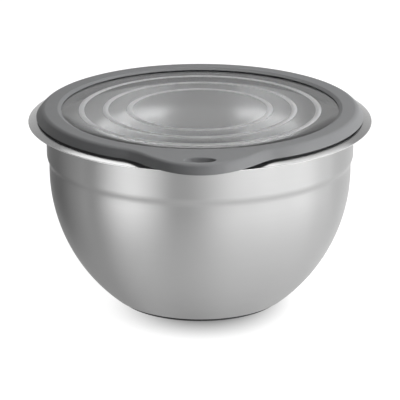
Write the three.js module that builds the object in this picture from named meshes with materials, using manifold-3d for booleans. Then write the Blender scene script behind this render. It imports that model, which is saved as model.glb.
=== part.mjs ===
// Mixing bowl with a lid: a deep bowl drawn from steel sheet, with a flared rim and a rubber foot pad,
// closed by a see-through panel that is held in a soft rim with a pull tab.
// Millimetres, +Z up. The origin is the middle of the foot pad's underside. The tab points towards -Y.
import * as THREE from 'three';
import { mergeVertices } from 'three/addons/utils/BufferGeometryUtils.js';
import Module from 'manifold-3d';

const wasm = await Module();
wasm.setup();

// Bowl
const bowlHeight = 131.4;      // from the table to the top of the flange
const mouthDiameter = 213.2;   // inside the upright band
const sheet = 0.9;             // steel thickness
const bandHeight = 26.8;       // from the top of the flange down to the shoulder
const shoulderHeight = 3.8;
const shoulderStep = 1.7;      // how far the shoulder draws in on the radius
const waistHeight = 6;         // upright wall under the shoulder
const footDiameter = 121;      // flat of the steel base
const footRound = 3;
const shoulderRound = 1.8;
const bendRound = 2.2;         // under the flange, where the wall turns outwards
const rimShow = 5.3;           // flange that shows outside the lid
const flangeLevel = 1.6;       // level part of the flange outside the lid's seat
const flangeSlope = 14;        // degrees, down to the edge, so that the bowl pours cleanly
const flareRound = 2;

// Foot pad
const padThickness = 1.5;
const padInset = 2.5;          // pad edge inside the edge of the steel base
const padRound = 0.5;
const bondGap = 0.3;           // glue line between pad and steel

// Lid panel
const panelThickness = 1.8;
const panelHold = 7.2;         // how deep the panel's edge sits in the rim
const ridgeCount = 3;
const ridgeInset = 14.2;       // from the rim to the middle of the outer ridge
const ridgePitch = 16.8;
const ridgeWidth = 4.2;
const ridgeHeight = 0.5;

// Lid rim
const fitGap = 0.3;            // clearance round the panel, and under the lid's seat
const coverThickness = 1.7;    // rim over the panel's edge
const ledgeThickness = 2.8;    // rim under the panel's edge
const bevelWidth = 2.4;        // slope from the rim's flat top down to the panel
const ledgeSetback = 1.2;      // ledge edge behind the cover's edge, so that it stays out of sight
const bevelEdge = 0.3;         // upright edge left under the bevel
const seatWidth = 1.7;         // ring that rests on the flange
const skirtOverhang = 3.3;     // skirt outside the seat
const skirtGap = 1.1;          // open line between skirt and flange
const skirtLean = 4.8;         // how far the skirt slopes out on the radius
const skirtTopRound = 2.2;
const skirtFootRound = 0.8;

// Sealing lip inside the mouth
const lipDepth = 9.4;          // below the seat
const lipThickness = 2.4;
const lipSwell = 0.8;          // how far the lip bulges towards the wall
const lipClearance = 0.4;      // between the bulge and the bowl's wall
const lipRound = 1;

// Pull tab and its oval finger hole
const holeLength = 21;
const holeWidth = 10;
const holeMargin = 7;          // rim left in front of the hole and behind it
const tabFlank = 40.7;         // length of each sloping flank beside the hole
const tabFullness = 0.85;      // 1 is a plain wave, and less is a fuller tab

// Facets
const turnSteps = 72;
const wallSteps = 9;
const edgeSteps = 4;
const roundSteps = 2;
const ridgeSteps = 4;
const holeSteps = 28;
const sideShare = 0.45;         // most of a side that one round may take

// A profile through corners [radius, height, round]. A round is a curve that cuts its corner back,
// as far along each side as the round says and the side allows.
function rounded(corners) {
  const at = (i) => new THREE.Vector2(...corners[(i + corners.length) % corners.length]);
  return corners.flatMap(([, , round = 0], i) => {
    const corner = at(i);
    if (round === 0) {
      return [corner];
    }
    const before = at(i - 1).sub(corner);
    const after = at(i + 1).sub(corner);
    const cut = Math.min(round, sideShare * before.length(), sideShare * after.length());
    const start = before.setLength(cut).add(corner);
    const end = after.setLength(cut).add(corner);
    return new THREE.QuadraticBezierCurve(start, corner, end).getPoints(roundSteps);
  });
}

// The line that runs beside another on its left, at an even distance.
function beside(line, distance) {
  const leftOf = (a, b) => new THREE.Vector2(a.y - b.y, b.x - a.x).normalize();
  return line.map((point, i) => {
    const before = leftOf(line[Math.max(i - 1, 0)], line[Math.max(i, 1)]);
    const after = leftOf(line[Math.min(i, line.length - 2)], line[Math.min(i + 1, line.length - 1)]);
    const middle = before.clone().add(after).normalize();
    return middle.multiplyScalar(distance / middle.dot(after)).add(point);
  });
}

// A profile turned about the Z axis, starting from the -Y side.
function turned(profile) {
  return new THREE.LatheGeometry(profile, turnSteps).rotateX(Math.PI / 2);
}

function toSolid(geometry) {
  geometry.deleteAttribute('normal');
  geometry.deleteAttribute('uv');
  const merged = mergeVertices(geometry);
  return new wasm.Manifold(new wasm.Mesh({
    numProp: 3,
    vertProperties: merged.attributes.position.array,
    triVerts: new Uint32Array(merged.index.array),
  }));
}

function toGeometry(solid) {
  const { vertProperties, triVerts } = solid.getMesh();
  const geometry = new THREE.BufferGeometry();
  geometry.setAttribute('position', new THREE.BufferAttribute(vertProperties, 3));
  geometry.setIndex(new THREE.BufferAttribute(triVerts, 1));
  geometry.computeVertexNormals();
  return geometry;
}

function named(name, geometry, material) {
  const mesh = new THREE.Mesh(geometry, new THREE.MeshStandardMaterial(material));
  mesh.name = name;
  return mesh;
}

// Radii and heights that several pieces share
const mouthRadius = mouthDiameter / 2;
const footRadius = footDiameter / 2;
const baseHeight = padThickness + bondGap;
const bendRadius = bendRound + sheet;
const seatInner = mouthRadius + bendRadius;
const seatOuter = seatInner + seatWidth;
const lidRadius = seatOuter + skirtOverhang;
const rimRadius = lidRadius + rimShow;

// Lid heights, from the top of the flange
const seatHeight = fitGap;
const grooveFloor = seatHeight + ledgeThickness;
const panelFloor = grooveFloor + fitGap;
const panelTop = panelFloor + panelThickness;
const grooveRoof = panelTop + fitGap;
const lidTop = grooveRoof + coverThickness;

// Steel bowl: a flat base, a round wall that rises into an upright waist, a shoulder, an upright band
// and a flange that slopes down to a round edge. The sheet's inside runs beside its outside.
function bowlShell() {
  const bandRadius = mouthRadius + sheet;
  const waistRadius = bandRadius - shoulderStep;
  const bandFoot = bowlHeight - bandHeight;
  const waistTop = bandFoot - shoulderHeight;
  const wallTop = waistTop - waistHeight;
  const wallRun = waistRadius - footRadius;
  const wallRise = wallTop - baseHeight;
  const wallRadius = (wallRun ** 2 + wallRise ** 2) / (2 * wallRun);
  const wallSweep = Math.asin(wallRise / wallRadius);
  const wall = new THREE.ArcCurve(waistRadius - wallRadius, wallTop, wallRadius, -wallSweep, 0);
  const [foot, ...rising] = wall.getPoints(wallSteps).map((point) => point.toArray());

  const slope = THREE.MathUtils.degToRad(flangeSlope);
  const flareStart = new THREE.Vector2(seatOuter + flangeLevel, bowlHeight - sheet);
  const halfSheet = new THREE.Vector2(Math.sin(slope), Math.cos(slope)).multiplyScalar(sheet / 2);
  const flareRun = rimRadius - sheet / 2 - halfSheet.x - flareStart.x;
  const flareEnd = new THREE.Vector2(flareRun, -flareRun * Math.tan(slope)).add(flareStart);
  const edgeMiddle = flareEnd.clone().add(halfSheet);
  const quarter = Math.PI / 2;
  const edge = new THREE.ArcCurve(edgeMiddle.x, edgeMiddle.y, sheet / 2, -quarter - slope, quarter - slope);

  const outside = rounded([
    [0, baseHeight],
    [...foot, footRound],
    ...rising,
    [waistRadius, waistTop, shoulderRound],
    [bandRadius, bandFoot, shoulderRound],
    [bandRadius, bowlHeight - sheet, bendRound],
    [...flareStart.toArray(), flareRound],
    flareEnd.toArray(),
  ]);
  const inside = beside(outside, sheet);
  return turned([...outside, ...edge.getPoints(edgeSteps).slice(1, -1), ...inside.reverse()]);
}

// Rubber pad glued under the base, which the bowl stands on.
function basePad() {
  const radius = footRadius - padInset;
  return turned(rounded([
    [0, 0],
    [radius, 0, padRound],
    [radius, padThickness, padRound],
    [0, padThickness],
  ]));
}

// Round panel with low ridges moulded in rings on its top.
function lidPanel(windowRadius) {
  const ridges = Array.from({ length: ridgeCount }, (_, i) => {
    const middle = windowRadius - ridgeInset - i * ridgePitch;
    const crown = new THREE.EllipseCurve(middle, panelTop, ridgeWidth / 2, ridgeHeight, 0, Math.PI);
    return crown.getPoints(ridgeSteps);
  });
  const radius = windowRadius + panelHold;
  return turned([
    new THREE.Vector2(0, panelFloor),
    new THREE.Vector2(radius, panelFloor),
    new THREE.Vector2(radius, panelTop),
    ...ridges.flat(),
    new THREE.Vector2(0, panelTop),
  ]);
}

// Soft rim moulded round the panel's edge, with its seat on the flange, a sealing lip inside the mouth
// and a sloping skirt. At the front the skirt swells out into the tab, in one smooth wave.
function lidRim(windowRadius) {
  const grooveRadius = windowRadius + panelHold + fitGap;
  const lipRadius = mouthRadius - lipClearance;
  const lipOutside = lipRadius - lipSwell;
  const lipInside = lipOutside - lipThickness;
  const lipFoot = seatHeight - lipDepth;
  const skirtPoints = 2 * (roundSteps + 1);
  const profile = rounded([
    [windowRadius + bevelWidth, lidTop],
    [windowRadius, grooveRoof + bevelEdge],
    [windowRadius, grooveRoof],
    [grooveRadius, grooveRoof],
    [grooveRadius, grooveFloor],
    [windowRadius + ledgeSetback, grooveFloor],
    [windowRadius + ledgeSetback, seatHeight],
    [lipInside, seatHeight],
    [lipInside, lipFoot, lipRound],
    [lipOutside, lipFoot, lipRound],
    [lipRadius, seatHeight - lipDepth / 2, lipRound],
    [lipOutside, seatHeight],
    [seatOuter, seatHeight],
    [seatOuter, skirtGap],
    [lidRadius, skirtGap, skirtFootRound],
    [lidRadius - skirtLean, lidTop, skirtTopRound],
  ]);
  const ring = turned([...profile, profile[0]]);

  const tabReach = holeWidth + 2 * holeMargin;
  const tabAngle = Math.asin((holeLength / 2 + tabFlank) / lidRadius);
  const position = ring.attributes.position;
  const vertex = new THREE.Vector3();
  for (let i = 0; i < position.count; i += 1) {
    const place = i % (profile.length + 1);
    vertex.fromBufferAttribute(position, i);
    const angle = Math.atan2(vertex.x, -vertex.y);
    const onSkirt = place >= profile.length - skirtPoints && place < profile.length;
    if (onSkirt && Math.abs(angle) < tabAngle) {
      const wave = (1 + Math.cos(Math.PI * angle / tabAngle)) / 2;
      const swell = tabReach * wave ** tabFullness;
      position.setXY(i, vertex.x + swell * Math.sin(angle), vertex.y - swell * Math.cos(angle));
    }
  }

  const outline = new THREE.Shape();
  outline.absellipse(0, -(seatOuter + tabReach / 2), holeLength / 2, holeWidth / 2, 0, 2 * Math.PI);
  const plug = new THREE.ExtrudeGeometry(outline, {
    depth: 2 * lidTop,
    bevelEnabled: false,
    curveSegments: holeSteps,
  });
  plug.translate(0, 0, -lidTop / 2);
  return toGeometry(toSolid(ring).subtract(toSolid(plug)));
}

const bowl = new THREE.Group();
bowl.add(named('bowl_shell', bowlShell(), { color: 0xc6c6c4, metalness: 1, roughness: 0.3 }));
bowl.add(named('base_pad', basePad(), { color: 0x3b3c3e, metalness: 0, roughness: 0.8 }));

// The panel's edge stops short of the lip, so the rim can hold it above the lip's root.
const windowRadius = mouthRadius - lipClearance - lipSwell - lipThickness / 2 - panelHold;
const lid = new THREE.Group();
lid.position.z = bowlHeight;
lid.add(named('lid_rim', lidRim(windowRadius), { color: 0x737577, metalness: 0, roughness: 0.5 }));
lid.add(named('lid_panel', lidPanel(windowRadius), {
  color: 0x8f9395,
  metalness: 0,
  roughness: 0.12,
  transparent: true,
  opacity: 0.45,
}));

const mixingBowl = new THREE.Group();
mixingBowl.add(bowl, lid);

export default mixingBowl;
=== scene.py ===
import math

import bmesh
import bpy
from mathutils import Matrix, Vector


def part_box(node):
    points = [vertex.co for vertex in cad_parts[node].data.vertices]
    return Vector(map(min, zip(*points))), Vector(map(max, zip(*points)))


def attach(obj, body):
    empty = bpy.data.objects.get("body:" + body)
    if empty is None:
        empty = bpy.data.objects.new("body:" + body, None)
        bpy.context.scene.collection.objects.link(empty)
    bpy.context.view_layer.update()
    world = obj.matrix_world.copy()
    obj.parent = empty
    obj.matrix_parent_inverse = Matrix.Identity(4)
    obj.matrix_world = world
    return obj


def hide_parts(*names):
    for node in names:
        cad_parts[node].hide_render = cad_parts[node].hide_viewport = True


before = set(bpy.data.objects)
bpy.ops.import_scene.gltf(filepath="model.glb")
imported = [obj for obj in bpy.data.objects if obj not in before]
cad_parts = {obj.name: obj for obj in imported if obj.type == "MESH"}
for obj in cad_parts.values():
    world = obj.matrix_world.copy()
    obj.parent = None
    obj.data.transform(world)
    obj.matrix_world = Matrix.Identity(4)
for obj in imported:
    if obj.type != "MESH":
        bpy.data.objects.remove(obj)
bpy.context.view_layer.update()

# The bowl: one round of 0.9 mm stainless sheet, deep drawn in a press, with a shoulder under its upright
# band and an edge bent out to a flange that slopes down a little. It is satin polished as it turns, so
# that fine lines run round the axis, and its flange is smoother. Its inside and its flange get a brighter
# tint, painted light that stands in for brighter reflections there.
MM = 0.001
bowl_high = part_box("bowl_shell")[1]
bowl_top = bowl_high.z / MM
edge_margin = 0.03
rim_radius = bowl_high.x / MM - edge_margin
sheet = 0.9
base_z = 1.8 + sheet / 2
wall_top_z = 94.8
wall_radius = 118.1 - sheet / 2
waist_radius = 105.8 - sheet / 2
waist_top_z = 100.8
band_radius = 107.5 - sheet / 2
band_foot_z = 104.6
flange_z = bowl_top - sheet / 2
flare_radius = 113.05
flare_slope = math.radians(14.0)
foot_round = 3.0
shoulder_round = 1.8
bend_round = 2.6
flare_round = 2.0
edge_round = 0.4
wall_steps = 44
bowl_steps = 224


def line_to(bm, start, radius, height):
    """Draw a profile on in a straight line and return its new end. Sizes are in millimetres."""
    end = bmesh.ops.extrude_vert_indiv(bm, verts=[start])["verts"][0]
    end.co = (radius * MM, 0.0, height * MM)
    return end


def swing(bm, start, radius, height, degrees, steps):
    """Draw a profile on in an arc about a centre and return its new end. Rising outwards is positive."""
    drawn = bmesh.ops.spin(bm, geom=[start], cent=(radius * MM, 0.0, height * MM), axis=(0.0, -1.0, 0.0),
                           angle=math.radians(degrees), steps=steps)
    return drawn["geom_last"][0]


def round_off(bm, corner, size, steps):
    """Round one corner of a profile, cutting each side back by the size."""
    bmesh.ops.bevel(bm, geom=[corner], offset=size * MM, offset_type="OFFSET", segments=steps,
                    profile=0.5, affect="VERTICES", material=-1)


def turn(bm, steps):
    """Turn a profile about the Z axis into a closed round shape."""
    bmesh.ops.spin(bm, geom=bm.verts[:] + bm.edges[:], axis=(0.0, 0.0, 1.0), angle=2 * math.pi,
                   steps=steps, use_merge=True)
    bmesh.ops.remove_doubles(bm, verts=bm.verts, dist=1e-6)
    bmesh.ops.recalc_face_normals(bm, faces=bm.faces)


def make_piece(name, bm, material):
    """Turn a finished bmesh into a smooth piece of the object."""
    for face in bm.faces:
        face.smooth = True
    mesh = bpy.data.meshes.new(name)
    bm.to_mesh(mesh)
    bm.free()
    mesh.materials.append(material)
    piece = bpy.data.objects.new(name, mesh)
    bpy.context.scene.collection.objects.link(piece)
    return piece


def fill(tree, node, inputs):
    """Fill the inputs of a shader node. One that is a socket is linked, and any other value is set."""
    for key, value in inputs.items():
        if isinstance(value, bpy.types.NodeSocket):
            tree.links.new(value, node.inputs[key])
        else:
            node.inputs[key].default_value = value


def put(tree, kind, inputs, **settings):
    """Add a shader node with its settings and inputs."""
    node = tree.nodes.new(kind)
    for name, value in settings.items():
        setattr(node, name, value)
    fill(tree, node, inputs)
    return node


def remap(tree, value, source, target, **settings):
    """Carry a value from one span of numbers to another and return its socket."""
    spans = {"From Min": source[0], "From Max": source[1], "To Min": target[0], "To Max": target[1]}
    return put(tree, "ShaderNodeMapRange", {"Value": value, **spans}, **settings).outputs[0]


def mix(tree, share, first, second, **settings):
    """Mix two values, or two colours where the data type says so, and return the socket of the mix."""
    inputs = {"Factor": share, "A": first, "B": second}
    return put(tree, "ShaderNodeMix", inputs, **settings).outputs["Result"]


def new_material(name):
    """Start a material and return it with its node tree and its main shader."""
    material = bpy.data.materials.new(name)
    material.use_nodes = True
    return material, material.node_tree, material.node_tree.nodes["Principled BSDF"]


bm = bmesh.new()
middle = bm.verts.new((0.0, 0.0, base_z * MM))
wall_centre = waist_radius - wall_radius
wall_sweep = math.asin((wall_top_z - base_z) / wall_radius)
foot = line_to(bm, middle, wall_centre + wall_radius * math.cos(wall_sweep), base_z)
wall_top = swing(bm, foot, wall_centre, wall_top_z, math.degrees(wall_sweep), wall_steps)
waist_top = line_to(bm, wall_top, waist_radius, waist_top_z)
band_foot = line_to(bm, waist_top, band_radius, band_foot_z)
bend = line_to(bm, band_foot, band_radius, flange_z)
flare = line_to(bm, bend, flare_radius, flange_z)
line_to(bm, flare, rim_radius, flange_z - (rim_radius - flare_radius) * math.tan(flare_slope))
round_off(bm, foot, foot_round, 5)
round_off(bm, waist_top, shoulder_round, 5)
round_off(bm, band_foot, shoulder_round, 5)
round_off(bm, bend, bend_round, 6)
round_off(bm, flare, flare_round, 5)
turn(bm, bowl_steps)

steel, tree, main = new_material("satin_steel")
where = put(tree, "ShaderNodeTexCoord", {}).outputs["Object"]
axes = put(tree, "ShaderNodeSeparateXYZ", {0: where})
outward = put(tree, "ShaderNodeVectorMath", {0: where, 1: (1.0, 1.0, 0.0)}, operation="MULTIPLY")
radius = put(tree, "ShaderNodeVectorMath", {0: outward.outputs[0]}, operation="LENGTH").outputs["Value"]
heading = put(tree, "ShaderNodeVectorMath", {0: outward.outputs[0]}, operation="NORMALIZE").outputs[0]
heading_axes = put(tree, "ShaderNodeSeparateXYZ", {0: heading})
along = put(tree, "ShaderNodeMath", {0: radius, 1: axes.outputs["Z"]}, operation="ADD")
along_lines = put(tree, "ShaderNodeMath", {0: along.outputs[0], 1: 1400.0}, operation="MULTIPLY")
line_place = put(tree, "ShaderNodeCombineXYZ",
                 {0: along_lines.outputs[0], 1: heading_axes.outputs[0], 2: heading_axes.outputs[1]})
lines = put(tree, "ShaderNodeTexNoise",
            {"Vector": line_place.outputs[0], "Scale": 1.0, "Detail": 4.0, "Roughness": 0.65}).outputs["Fac"]
smears = put(tree, "ShaderNodeTexNoise", {"Vector": where, "Scale": 26.0, "Detail": 3.0}).outputs["Fac"]
line_gloss = remap(tree, lines, (0.3, 0.7), (0.34, 0.38))
smear_gloss = remap(tree, smears, (0.35, 0.7), (-0.01, 0.02))
satin = put(tree, "ShaderNodeMath", {0: line_gloss, 1: smear_gloss}, operation="ADD").outputs[0]
normal = put(tree, "ShaderNodeNewGeometry", {}).outputs["Normal"]
facing = put(tree, "ShaderNodeVectorMath", {0: normal, 1: heading}, operation="DOT_PRODUCT").outputs["Value"]
inside = remap(tree, facing, (-0.05, 0.15), (1.0, 0.0))
on_flange = remap(tree, radius, (0.1085, 0.1095), (0.0, 1.0))
# painted light: the inside and the flange get a brighter tint that stands in for brighter reflections
painted_bright_steel = put(tree, "ShaderNodeMath", {0: inside, 1: on_flange}, operation="MAXIMUM").outputs[0]
roughness = mix(tree, on_flange, satin, 0.2)
wall_tint = mix(tree, lines, (0.42, 0.42, 0.42, 1.0), (0.45, 0.45, 0.45, 1.0), data_type="RGBA")
tint = mix(tree, painted_bright_steel, wall_tint, (0.6, 0.6, 0.6, 1.0), data_type="RGBA")
back_turn = put(tree, "ShaderNodeMath", {0: heading_axes.outputs[1], 1: -1.0}, operation="MULTIPLY")
round_way = put(tree, "ShaderNodeCombineXYZ", {0: back_turn.outputs[0], 1: heading_axes.outputs[0]})
relief = put(tree, "ShaderNodeBump", {"Height": lines, "Strength": 0.05, "Distance": 0.00002})
fill(tree, main, {
    "Base Color": tint,
    "Metallic": 1.0,
    "Roughness": roughness,
    "Anisotropic": 0.95,
    "Anisotropic Rotation": 0.25,
    "Tangent": round_way.outputs[0],
    "Normal": relief.outputs[0],
})

bowl = make_piece("steel_bowl", bm, steel)
wall = bowl.modifiers.new("sheet", "SOLIDIFY")
wall.thickness = sheet * MM
wall.offset = 0.0
wall.use_even_offset = True
edge = bowl.modifiers.new("round_edge", "BEVEL")
edge.limit_method = "ANGLE"
edge.angle_limit = math.radians(60.0)
edge.width = edge_round * MM
edge.segments = 4
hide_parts("bowl_shell")
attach(bowl, "bowl")

# The foot pad: a thin dark silicone disc with rounded edges, glued under the flat of the base. It shows as
# a dark line under the bowl and keeps the steel off the table.
pad_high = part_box("base_pad")[1]
pad_radius = pad_high.x / MM
pad_top = pad_high.z / MM
pad_round = 0.5
pad_steps = 160

bm = bmesh.new()
pad_middle = bm.verts.new((0.0, 0.0, 0.0))
pad_under = line_to(bm, pad_middle, pad_radius, 0.0)
pad_over = line_to(bm, pad_under, pad_radius, pad_top)
line_to(bm, pad_over, 0.0, pad_top)
round_off(bm, pad_under, pad_round, 4)
round_off(bm, pad_over, pad_round, 4)
turn(bm, pad_steps)

rubber, tree, main = new_material("dark_silicone")
where = put(tree, "ShaderNodeTexCoord", {}).outputs["Object"]
grain = put(tree, "ShaderNodeTexNoise", {"Vector": where, "Scale": 1800.0, "Detail": 3.0}).outputs["Fac"]
dust = put(tree, "ShaderNodeTexNoise",
           {"Vector": where, "Scale": 90.0, "Detail": 5.0, "Roughness": 0.7}).outputs["Fac"]
tint = mix(tree, dust, (0.035, 0.036, 0.038, 1.0), (0.06, 0.061, 0.062, 1.0), data_type="RGBA")
roughness = remap(tree, dust, (0.3, 0.7), (0.6, 0.78))
relief = put(tree, "ShaderNodeBump", {"Height": grain, "Strength": 0.3, "Distance": 0.00008})
fill(tree, main, {"Base Color": tint, "Roughness": roughness, "Normal": relief.outputs[0]})

pad = make_piece("foot_pad", bm, rubber)
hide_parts("base_pad")
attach(pad, "bowl")

# The lid rim: soft satin grey plastic, moulded in one shot round the edge of the clear panel. Its flat top
# slopes to the panel inside and rolls over to a skirt outside, which swells into a pull tab with an oval
# finger hole at the front. Under it a ring rests on the flange and a lip closes the mouth.
rim_low, rim_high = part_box("lid_rim")
lid_top = rim_high.z / MM
skirt_foot = bowl_top + 1.1
# The corners of the rim's section, from its inner top edge round: radius, height and rounding.
rim_corners = [
    (99.4, lid_top, 0.5),
    (97.0, lid_top - 1.4, 0.15),
    (97.0, lid_top - 1.7, 0.1),
    (104.5, lid_top - 1.7, 0.1),
    (104.5, lid_top - 4.1, 0.1),
    (98.2, lid_top - 4.1, 0.3),
    (98.2, bowl_top + 0.3, 0.5),
    (103.0, bowl_top + 0.3, 0.4),
    (103.0, bowl_top - 9.1, 1.0),
    (105.4, bowl_top - 9.1, 1.0),
    (106.2, bowl_top - 4.4, 1.2),
    (105.4, bowl_top + 0.3, 0.3),
    (111.4, bowl_top + 0.3, 0.3),
    (111.4, skirt_foot, 0.3),
    (114.7, skirt_foot, 0.8),
    (109.9, lid_top, 2.2),
]
skirt_top_start = 106.8
skirt_foot_start = 113.8
level_slack = 0.01
tab_half_angle = 0.4629
tab_fullness = 0.85
hole_length = 21.0
hole_width = 10.0
hole_middle = 123.4
hole_round = 0.8
hole_sector = math.radians(7.0)
hole_steps = 72
round_steps = 4
rim_steps = 288

bm = bmesh.new()
first = bm.verts.new((rim_corners[0][0] * MM, 0.0, rim_corners[0][1] * MM))
drawn = [first]
for corner_radius, corner_z, _ in rim_corners[1:]:
    drawn.append(line_to(bm, drawn[-1], corner_radius, corner_z))
bm.edges.new((drawn[-1], first))
for corner, (_, _, size) in zip(drawn, rim_corners):
    round_off(bm, corner, size, round_steps)
skirt_edge = max(vert.co.x for vert in bm.verts)
tab_reach = -rim_low.y - skirt_edge
turn(bm, rim_steps)

for vert in bm.verts:
    out = math.hypot(vert.co.x, vert.co.y)
    angle = math.atan2(vert.co.x, -vert.co.y)
    above_foot = vert.co.z > (skirt_foot + level_slack) * MM and out > skirt_top_start * MM
    at_foot = vert.co.z > (skirt_foot - level_slack) * MM and out > skirt_foot_start * MM
    if (above_foot or at_foot) and abs(angle) < tab_half_angle:
        wave = (1 + math.cos(math.pi * angle / tab_half_angle)) / 2
        swell = tab_reach * wave ** tab_fullness / out
        vert.co *= Vector((1.0, 1.0, 0.0)) * swell + Vector((1.0, 1.0, 1.0))


def open_flat(bm, height):
    """Take the flat faces out of the tab at one height and return the edges round the gap."""
    flat = [face for face in bm.faces
            if all(abs(vert.co.z - height * MM) < 1e-7 for vert in face.verts)
            and abs(math.atan2(face.calc_center_median().x, -face.calc_center_median().y)) < hole_sector]
    bmesh.ops.delete(bm, geom=flat, context="FACES")
    return [edge for edge in bm.edges if edge.is_boundary
            and all(abs(vert.co.z - height * MM) < 1e-7 for vert in edge.verts)]


def oval(bm, height, painted_contact_shadow):
    """Draw one oval of the finger hole, wider than the hole by the spread, and return its edges."""
    half_length = hole_length / 2 + painted_contact_shadow
    half_width = hole_width / 2 + painted_contact_shadow
    ring = bmesh.ops.create_circle(bm, segments=hole_steps, radius=1.0)["verts"]
    bmesh.ops.scale(bm, verts=ring, vec=(half_length * MM, half_width * MM, 1.0))
    bmesh.ops.translate(bm, verts=ring, vec=(0.0, -hole_middle * MM, height * MM))
    return list({edge for vert in ring for edge in vert.link_edges})


top_gap = open_flat(bm, lid_top)
foot_gap = open_flat(bm, skirt_foot)
quarter = [math.pi / 2 * step / round_steps for step in range(round_steps + 1)]
flare_out = [(hole_round * (1 - math.cos(angle)), hole_round * (1 - math.sin(angle))) for angle in quarter]
ovals = [oval(bm, lid_top - depth, painted_contact_shadow) for depth, painted_contact_shadow in flare_out]
ovals += [oval(bm, skirt_foot + depth, painted_contact_shadow) for depth, painted_contact_shadow in reversed(flare_out)]
for upper, lower in zip(ovals, ovals[1:]):
    bmesh.ops.bridge_loops(bm, edges=upper + lower)
bmesh.ops.triangle_fill(bm, edges=top_gap + ovals[0], use_beauty=True)
bmesh.ops.triangle_fill(bm, edges=foot_gap + ovals[-1], use_beauty=True)
bmesh.ops.recalc_face_normals(bm, faces=bm.faces)

soft_grey, tree, main = new_material("satin_grey_rim")
where = put(tree, "ShaderNodeTexCoord", {}).outputs["Object"]
grain = put(tree, "ShaderNodeTexNoise", {"Vector": where, "Scale": 2600.0, "Detail": 2.0}).outputs["Fac"]
flow = put(tree, "ShaderNodeTexNoise", {"Vector": where, "Scale": 34.0, "Detail": 4.0}).outputs["Fac"]
tint = mix(tree, flow, (0.115, 0.117, 0.12, 1.0), (0.135, 0.137, 0.14, 1.0), data_type="RGBA")
roughness = remap(tree, flow, (0.3, 0.7), (0.42, 0.5))
relief = put(tree, "ShaderNodeBump", {"Height": grain, "Strength": 0.2, "Distance": 0.00005})
fill(tree, main, {"Base Color": tint, "Roughness": roughness, "Normal": relief.outputs[0]})

rim = make_piece("lid_rim_soft", bm, soft_grey)
even = rim.modifiers.new("even_flats", "WEIGHTED_NORMAL")
even.weight = 100
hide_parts("lid_rim")
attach(rim, "lid")

# The lid panel: a clear smoke-grey disc, injection moulded, whose edge is held in the rim's groove. Three
# low round ridges stiffen its top, and their finely etched crowns look frosted beside the clear plate.
panel_low, panel_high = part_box("lid_panel")
panel_radius = panel_high.x / MM
panel_foot = panel_low.z / MM
ridge_top = panel_high.z / MM
panel_top = panel_foot + 1.8
ridge_radii = (82.8, 66.0, 49.2)
ridge_half = 1.8
crown_half = 0.5
ridge_round = 0.5
panel_steps = 288

bm = bmesh.new()
under_middle = bm.verts.new((0.0, 0.0, panel_foot * MM))
end = line_to(bm, under_middle, panel_radius, panel_foot)
end = line_to(bm, end, panel_radius, panel_top)
ridge_corners = []
for ridge_radius in ridge_radii:
    outer_foot = line_to(bm, end, ridge_radius + ridge_half, panel_top)
    outer_crown = line_to(bm, outer_foot, ridge_radius + crown_half, ridge_top)
    inner_crown = line_to(bm, outer_crown, ridge_radius - crown_half, ridge_top)
    end = line_to(bm, inner_crown, ridge_radius - ridge_half, panel_top)
    ridge_corners += [outer_foot, outer_crown, inner_crown, end]
line_to(bm, end, 0.0, panel_top)
for corner in ridge_corners:
    round_off(bm, corner, ridge_round, 5)
turn(bm, panel_steps)
frost = bm.verts.layers.float.new("frost")
for vert in bm.verts:
    vert[frost] = 1.0 if vert.co.z > (panel_top + level_slack) * MM else 0.0

smoke, tree, main = new_material("smoke_clear_panel")
where = put(tree, "ShaderNodeTexCoord", {}).outputs["Object"]
frosted = put(tree, "ShaderNodeAttribute", {}, attribute_name="frost").outputs["Fac"]
etch = put(tree, "ShaderNodeTexNoise", {"Vector": where, "Scale": 3200.0, "Detail": 2.0}).outputs["Fac"]
haze = put(tree, "ShaderNodeTexNoise", {"Vector": where, "Scale": 30.0, "Detail": 4.0}).outputs["Fac"]
tint = mix(tree, haze, (0.93, 0.935, 0.94, 1.0), (0.96, 0.965, 0.97, 1.0), data_type="RGBA")
clear_gloss = remap(tree, haze, (0.3, 0.7), (0.03, 0.06))
gloss = mix(tree, frosted, clear_gloss, 0.4)
clearness = remap(tree, frosted, (0.0, 1.0), (1.0, 0.8))
depth = remap(tree, frosted, (0.0, 1.0), (0.003, 0.06))
relief = put(tree, "ShaderNodeBump", {"Height": etch, "Strength": depth, "Distance": 0.00003})
fill(tree, main, {
    "Base Color": tint,
    "Roughness": gloss,
    "IOR": 1.49,
    "Transmission Weight": clearness,
    "Normal": relief.outputs[0],
})

panel = make_piece("clear_panel", bm, smoke)
even = panel.modifiers.new("even_flats", "WEIGHTED_NORMAL")
even.weight = 100
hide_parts("lid_panel")
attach(panel, "lid")

# The floor: a plain white studio table that runs on past the picture. It takes the bowl's shadow and looks
# white to the camera, with a contact shadow painted into its glow round the foot. In the steel its glow is
# painted darker, a painted shade most of all on the left and close to the foot.
floor_half = 8.0
floor_mesh = bpy.data.meshes.new("floor")
bm = bmesh.new()
bmesh.ops.create_grid(bm, x_segments=1, y_segments=1, size=floor_half)
bm.to_mesh(floor_mesh)
bm.free()
floor = bpy.data.objects.new("floor", floor_mesh)
bpy.context.scene.collection.objects.link(floor)

white, tree, main = new_material("white_table")


def seen(tree):
    """Return a socket that is 1 for rays of the camera, of reflections and of clear plastic, and 0 for the
    light itself."""
    path = put(tree, "ShaderNodeLightPath", {}).outputs
    looked = put(tree, "ShaderNodeMath", {0: path["Is Camera Ray"], 1: path["Is Glossy Ray"]},
                 operation="MAXIMUM")
    both = put(tree, "ShaderNodeMath", {0: looked.outputs[0], 1: path["Is Transmission Ray"]},
               operation="MAXIMUM")
    return both.outputs[0]


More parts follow.
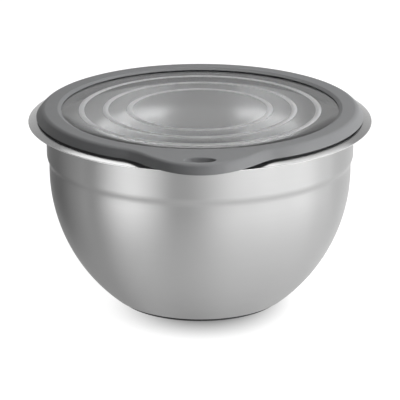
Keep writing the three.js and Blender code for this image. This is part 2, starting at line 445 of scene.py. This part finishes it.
tree.nodes.remove(main)
table = put(tree, "ShaderNodeBsdfDiffuse", {"Color": (0.8, 0.8, 0.8, 1.0)})
shaded = put(tree, "ShaderNodeBsdfDiffuse", {"Color": (0.17, 0.17, 0.17, 1.0)})
where = put(tree, "ShaderNodeTexCoord", {}).outputs["Object"]
away = put(tree, "ShaderNodeVectorMath", {0: where}, operation="LENGTH").outputs["Value"]
# painted shadow: the glow the camera sees fades close to the foot, a contact shadow painted over the real
# one
shadow_place = put(tree, "ShaderNodeVectorMath",
                   {0: where, 1: (1.21, 1.0, 0.0), 2: (-0.005, 0.021, 0.0)}, operation="MULTIPLY_ADD")
shadow = put(tree, "ShaderNodeVectorMath", {0: shadow_place.outputs[0]}, operation="LENGTH").outputs["Value"]
painted_contact_shadow = remap(tree, shadow, (0.02, 0.09), (0.1, 0.97), interpolation_type="SMOOTHSTEP")
# painted shade: in reflections the floor's glow is darker towards the left and close to the foot
across = put(tree, "ShaderNodeSeparateXYZ", {0: where}).outputs["X"]
painted_side_shade = remap(tree, across, (-0.2, 0.04), (0.42, 0.9), interpolation_type="SMOOTHSTEP")
painted_foot_shade = remap(tree, away, (0.05, 0.12), (0.6, 1.0))
painted_shade_in_steel = put(tree, "ShaderNodeMath", {0: painted_side_shade, 1: painted_foot_shade}, operation="MULTIPLY").outputs[0]
looked_at = put(tree, "ShaderNodeLightPath", {}).outputs["Is Camera Ray"]
strength = mix(tree, looked_at, painted_shade_in_steel, painted_contact_shadow)
glow = put(tree, "ShaderNodeEmission", {"Color": (1.0, 1.0, 1.0, 1.0), "Strength": strength})
lit = put(tree, "ShaderNodeAddShader", {0: shaded.outputs[0], 1: glow.outputs[0]})
paint = put(tree, "ShaderNodeMixShader", {0: seen(tree), 1: table.outputs[0], 2: lit.outputs[0]})
fill(tree, tree.nodes["Material Output"], {"Surface": paint.outputs[0]})
floor_mesh.materials.append(white)

# The light: a pale room with soft panels hung round the bowl. The key lights the rim, two panels behind
# light the flange, and two high strips shine through the lid into the bowl. Three low strips and a card,
# the flag, draw the soft light and dark bands on the wall. The flag is no lamp but glows with painted
# light, brighter at its front end and dimmer behind, standing in for a lit grey card.
world = bpy.data.worlds.new("pale_room")
bpy.context.scene.world = world
world.use_nodes = True
tree = world.node_tree
toward = put(tree, "ShaderNodeTexCoord", {}).outputs["Generated"]
rise = put(tree, "ShaderNodeSeparateXYZ", {0: toward}).outputs["Z"]
ceiling = remap(tree, rise, (0.1, 0.4), (0.7, 0.42))
room = mix(tree, seen(tree), 0.1, ceiling)
looked_at = put(tree, "ShaderNodeLightPath", {}).outputs["Is Camera Ray"]
backdrop = mix(tree, looked_at, room, 1.0)
fill(tree, tree.nodes["Background"], {"Color": (1.0, 1.0, 1.0, 1.0), "Strength": backdrop})


def soft_panel(name, place, aim, width, height, brightness, soft):
    """Hang a rectangular soft light at a place, facing its aim, as bright in its middle as stated. Soft is
    the share of its width over which each side fades out."""
    light = bpy.data.lights.new(name, "AREA")
    light.shape = "RECTANGLE"
    light.size = width
    light.size_y = height
    light.energy = math.pi * width * height * brightness
    light.use_nodes = True
    tree = light.node_tree
    spot = put(tree, "ShaderNodeNewGeometry", {}).outputs["Parametric"]
    across = put(tree, "ShaderNodeSeparateXYZ", {0: spot}).outputs["X"]
    off_middle = put(tree, "ShaderNodeMath", {0: across, 1: 0.5}, operation="SUBTRACT").outputs[0]
    aside = put(tree, "ShaderNodeMath", {0: off_middle}, operation="ABSOLUTE").outputs[0]
    fade = remap(tree, aside, (0.5 - soft, 0.5), (1.0, 0.0), interpolation_type="SMOOTHSTEP")
    fill(tree, tree.nodes["Emission"], {"Strength": fade})
    lamp = bpy.data.objects.new(name, light)
    lamp.location = place
    lamp.rotation_euler = (Vector(aim) - Vector(place)).to_track_quat("-Z", "Y").to_euler()
    bpy.context.scene.collection.objects.link(lamp)
    return lamp


lid_middle = (0.0, 0.0, 0.13)
wall_middle = (0.0, 0.0, 0.066)
key = soft_panel("key", (1.0, -0.28, 0.72), (0.0, 0.0, 0.12), 1.5, 1.5, 5.9, 0.1)
key.visible_glossy = False
key.visible_transmission = False
soft_panel("top_panel", (-0.1, 0.42, 0.8), lid_middle, 0.7, 0.5, 1.4, 0.1)
soft_panel("back_panel", (0.42, 0.36, 0.72), lid_middle, 0.5, 0.4, 1.5, 0.2)
right_edge = soft_panel("right_edge", (1.020, -0.412, 0.87), lid_middle, 2.6, 0.62, 6.0, 0.25)
left_edge = soft_panel("left_edge", (-0.953, -0.550, 0.87), lid_middle, 1.6, 0.62, 5.2, 0.25)
for strip in (right_edge, left_edge):
    strip.visible_diffuse = False
    strip.visible_glossy = False
side_panel = soft_panel("side_panel", (0.450, -0.020, 0.066), wall_middle, 0.44, 0.13, 1.2, 0.4)
right_panel = soft_panel("right_panel", (0.266, -0.271, 0.066), wall_middle, 0.88, 0.13, 2.5, 0.35)
left_strip = soft_panel("left_strip", (-0.275, -0.269, 0.066), wall_middle, 0.50, 0.13, 3.8, 0.5)
for strip in (side_panel, right_panel, left_strip):
    strip.visible_diffuse = False

flag_height = 0.12
flag_width = 0.42
flag_turn = math.radians(9.0)
flag_place = (-0.19, 0.14, 0.061)
flag_mesh = bpy.data.meshes.new("flag")
bm = bmesh.new()
bmesh.ops.create_grid(bm, x_segments=1, y_segments=1, size=0.5)
bmesh.ops.scale(bm, verts=bm.verts, vec=(flag_height, flag_width, 1.0))
bmesh.ops.rotate(bm, verts=bm.verts, matrix=Matrix.Rotation(math.pi / 2, 3, "Y"))
bmesh.ops.rotate(bm, verts=bm.verts, matrix=Matrix.Rotation(flag_turn, 3, "Z"))
bmesh.ops.translate(bm, verts=bm.verts, vec=flag_place)
bm.to_mesh(flag_mesh)
bm.free()
flag = bpy.data.objects.new("flag", flag_mesh)
flag.visible_camera = False
bpy.context.scene.collection.objects.link(flag)
glowing_flag_card, tree, main = new_material("glowing_flag_card")
tree.nodes.remove(main)
where = put(tree, "ShaderNodeTexCoord", {}).outputs["Object"]
along_card = put(tree, "ShaderNodeSeparateXYZ", {0: where}).outputs["Y"]
# painted light: the card glows brighter at its front end and dimmer behind, standing in for a lit grey card
painted_card_light = remap(tree, along_card, (-0.09, 0.015), (0.85, 0.22))
card_glow = put(tree, "ShaderNodeEmission", {"Color": (1.0, 1.0, 1.0, 1.0), "Strength": painted_card_light})
fill(tree, tree.nodes["Material Output"], {"Surface": card_glow.outputs[0]})
flag_mesh.materials.append(glowing_flag_card)

# The camera: a long lens about 2 m in front of the tab, looking down on the lid from above. It is fitted so
# that the bowl's rim and foot stand in the picture as they do in the photograph.
camera = bpy.data.cameras.new("camera")
camera.lens = 270.0
camera.sensor_width = 36.0
picture_middle = Vector((0.0, 0.0, 0.0695))
eye = bpy.data.objects.new("camera", camera)
eye.location = (0.0, -2.0088, 0.7409)
eye.rotation_euler = (picture_middle - eye.location).to_track_quat("-Z", "Y").to_euler()
bpy.context.scene.collection.objects.link(eye)
bpy.context.scene.camera = eye
bpy.context.scene.view_settings.view_transform = "Standard"
